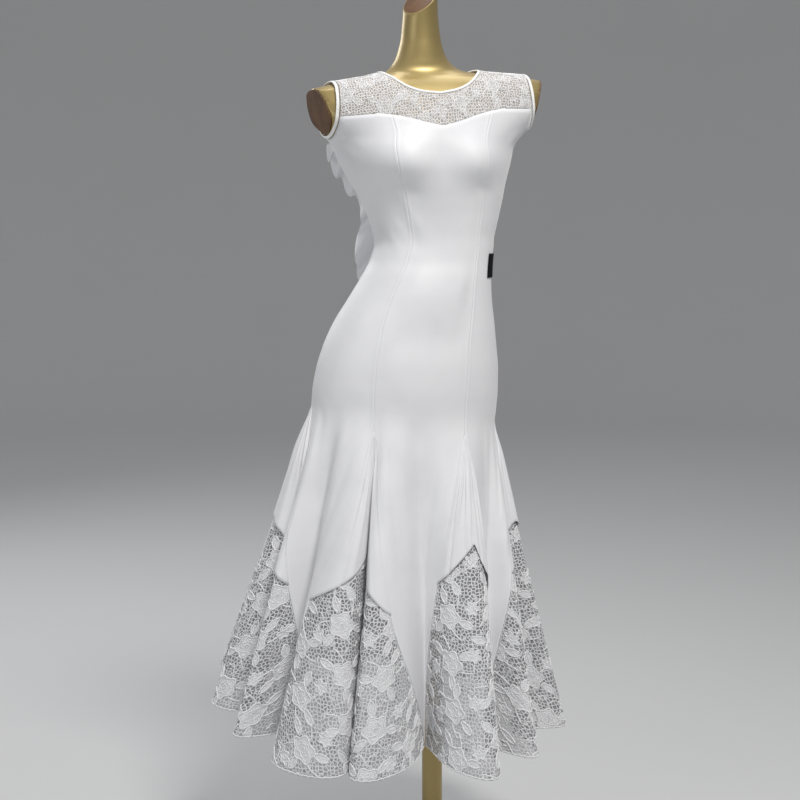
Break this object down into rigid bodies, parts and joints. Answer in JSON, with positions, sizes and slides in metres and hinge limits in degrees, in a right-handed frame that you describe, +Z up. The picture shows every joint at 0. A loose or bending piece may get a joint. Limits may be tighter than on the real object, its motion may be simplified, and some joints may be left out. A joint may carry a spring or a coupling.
{
  "type": "ballroom dance dress on dress form",
  "caption": "Sleeveless panelled ballroom dance dress with lace yoke, lace godets under pointed overlays and back flounces, worn by a limbless dress form on a pole and base.",
  "frame": {"origin": "centre of the base plate's underside, on the pole's axis, on the floor", "axes": "+Z up, the dress faces -Y, the wearer's right is -X"},
  "size_m": [0.629, 0.6637, 1.575],
  "materials": {
    "gold_paint": "satin gold paint on a moulded dress form",
    "cut_face": "dark brown flat arm cut",
    "base_metal": "dark bronze painted steel",
    "white_jersey": "white milk-silk stretch jersey, soft sheen",
    "white_lace": "white floral corded lace on an open net",
    "white_binding": "white folded binding",
    "black_label": "plain black woven patch, left bare"
  },
  "bodies": {
    "root": {"form_torso": "gold_paint", "form_arm_cut_left": "cut_face", "form_arm_cut_right": "cut_face", "stand_base": "base_metal", "stand_flange": "base_metal", "stand_pole": "gold_paint", "panel_centre_front": "white_jersey", "panel_side_front_left": "white_jersey", "panel_side_back_left": "white_jersey", "panel_centre_back": "white_jersey", "panel_side_back_right": "white_jersey", "panel_side_front_right": "white_jersey", "godet_lace_front_left": "white_lace", "godet_lace_side_left": "white_lace", "godet_lace_back_left": "white_lace", "godet_lace_back_right": "white_lace", "godet_lace_side_right": "white_lace", "godet_lace_front_right": "white_lace", "overlay_front_left": "white_jersey", "overlay_side_left": "white_jersey", "overlay_back_left": "white_jersey", "overlay_back_right": "white_jersey", "overlay_side_right": "white_jersey", "overlay_front_right": "white_jersey", "yoke_front": "white_lace", "yoke_back": "white_lace", "binding_neck": "white_binding", "binding_armhole_left": "white_binding", "binding_armhole_right": "white_binding", "flounce_back_left": "white_jersey", "flounce_back_right": "white_jersey", "label_waist": "black_label"}
  },
  "joints": []
}
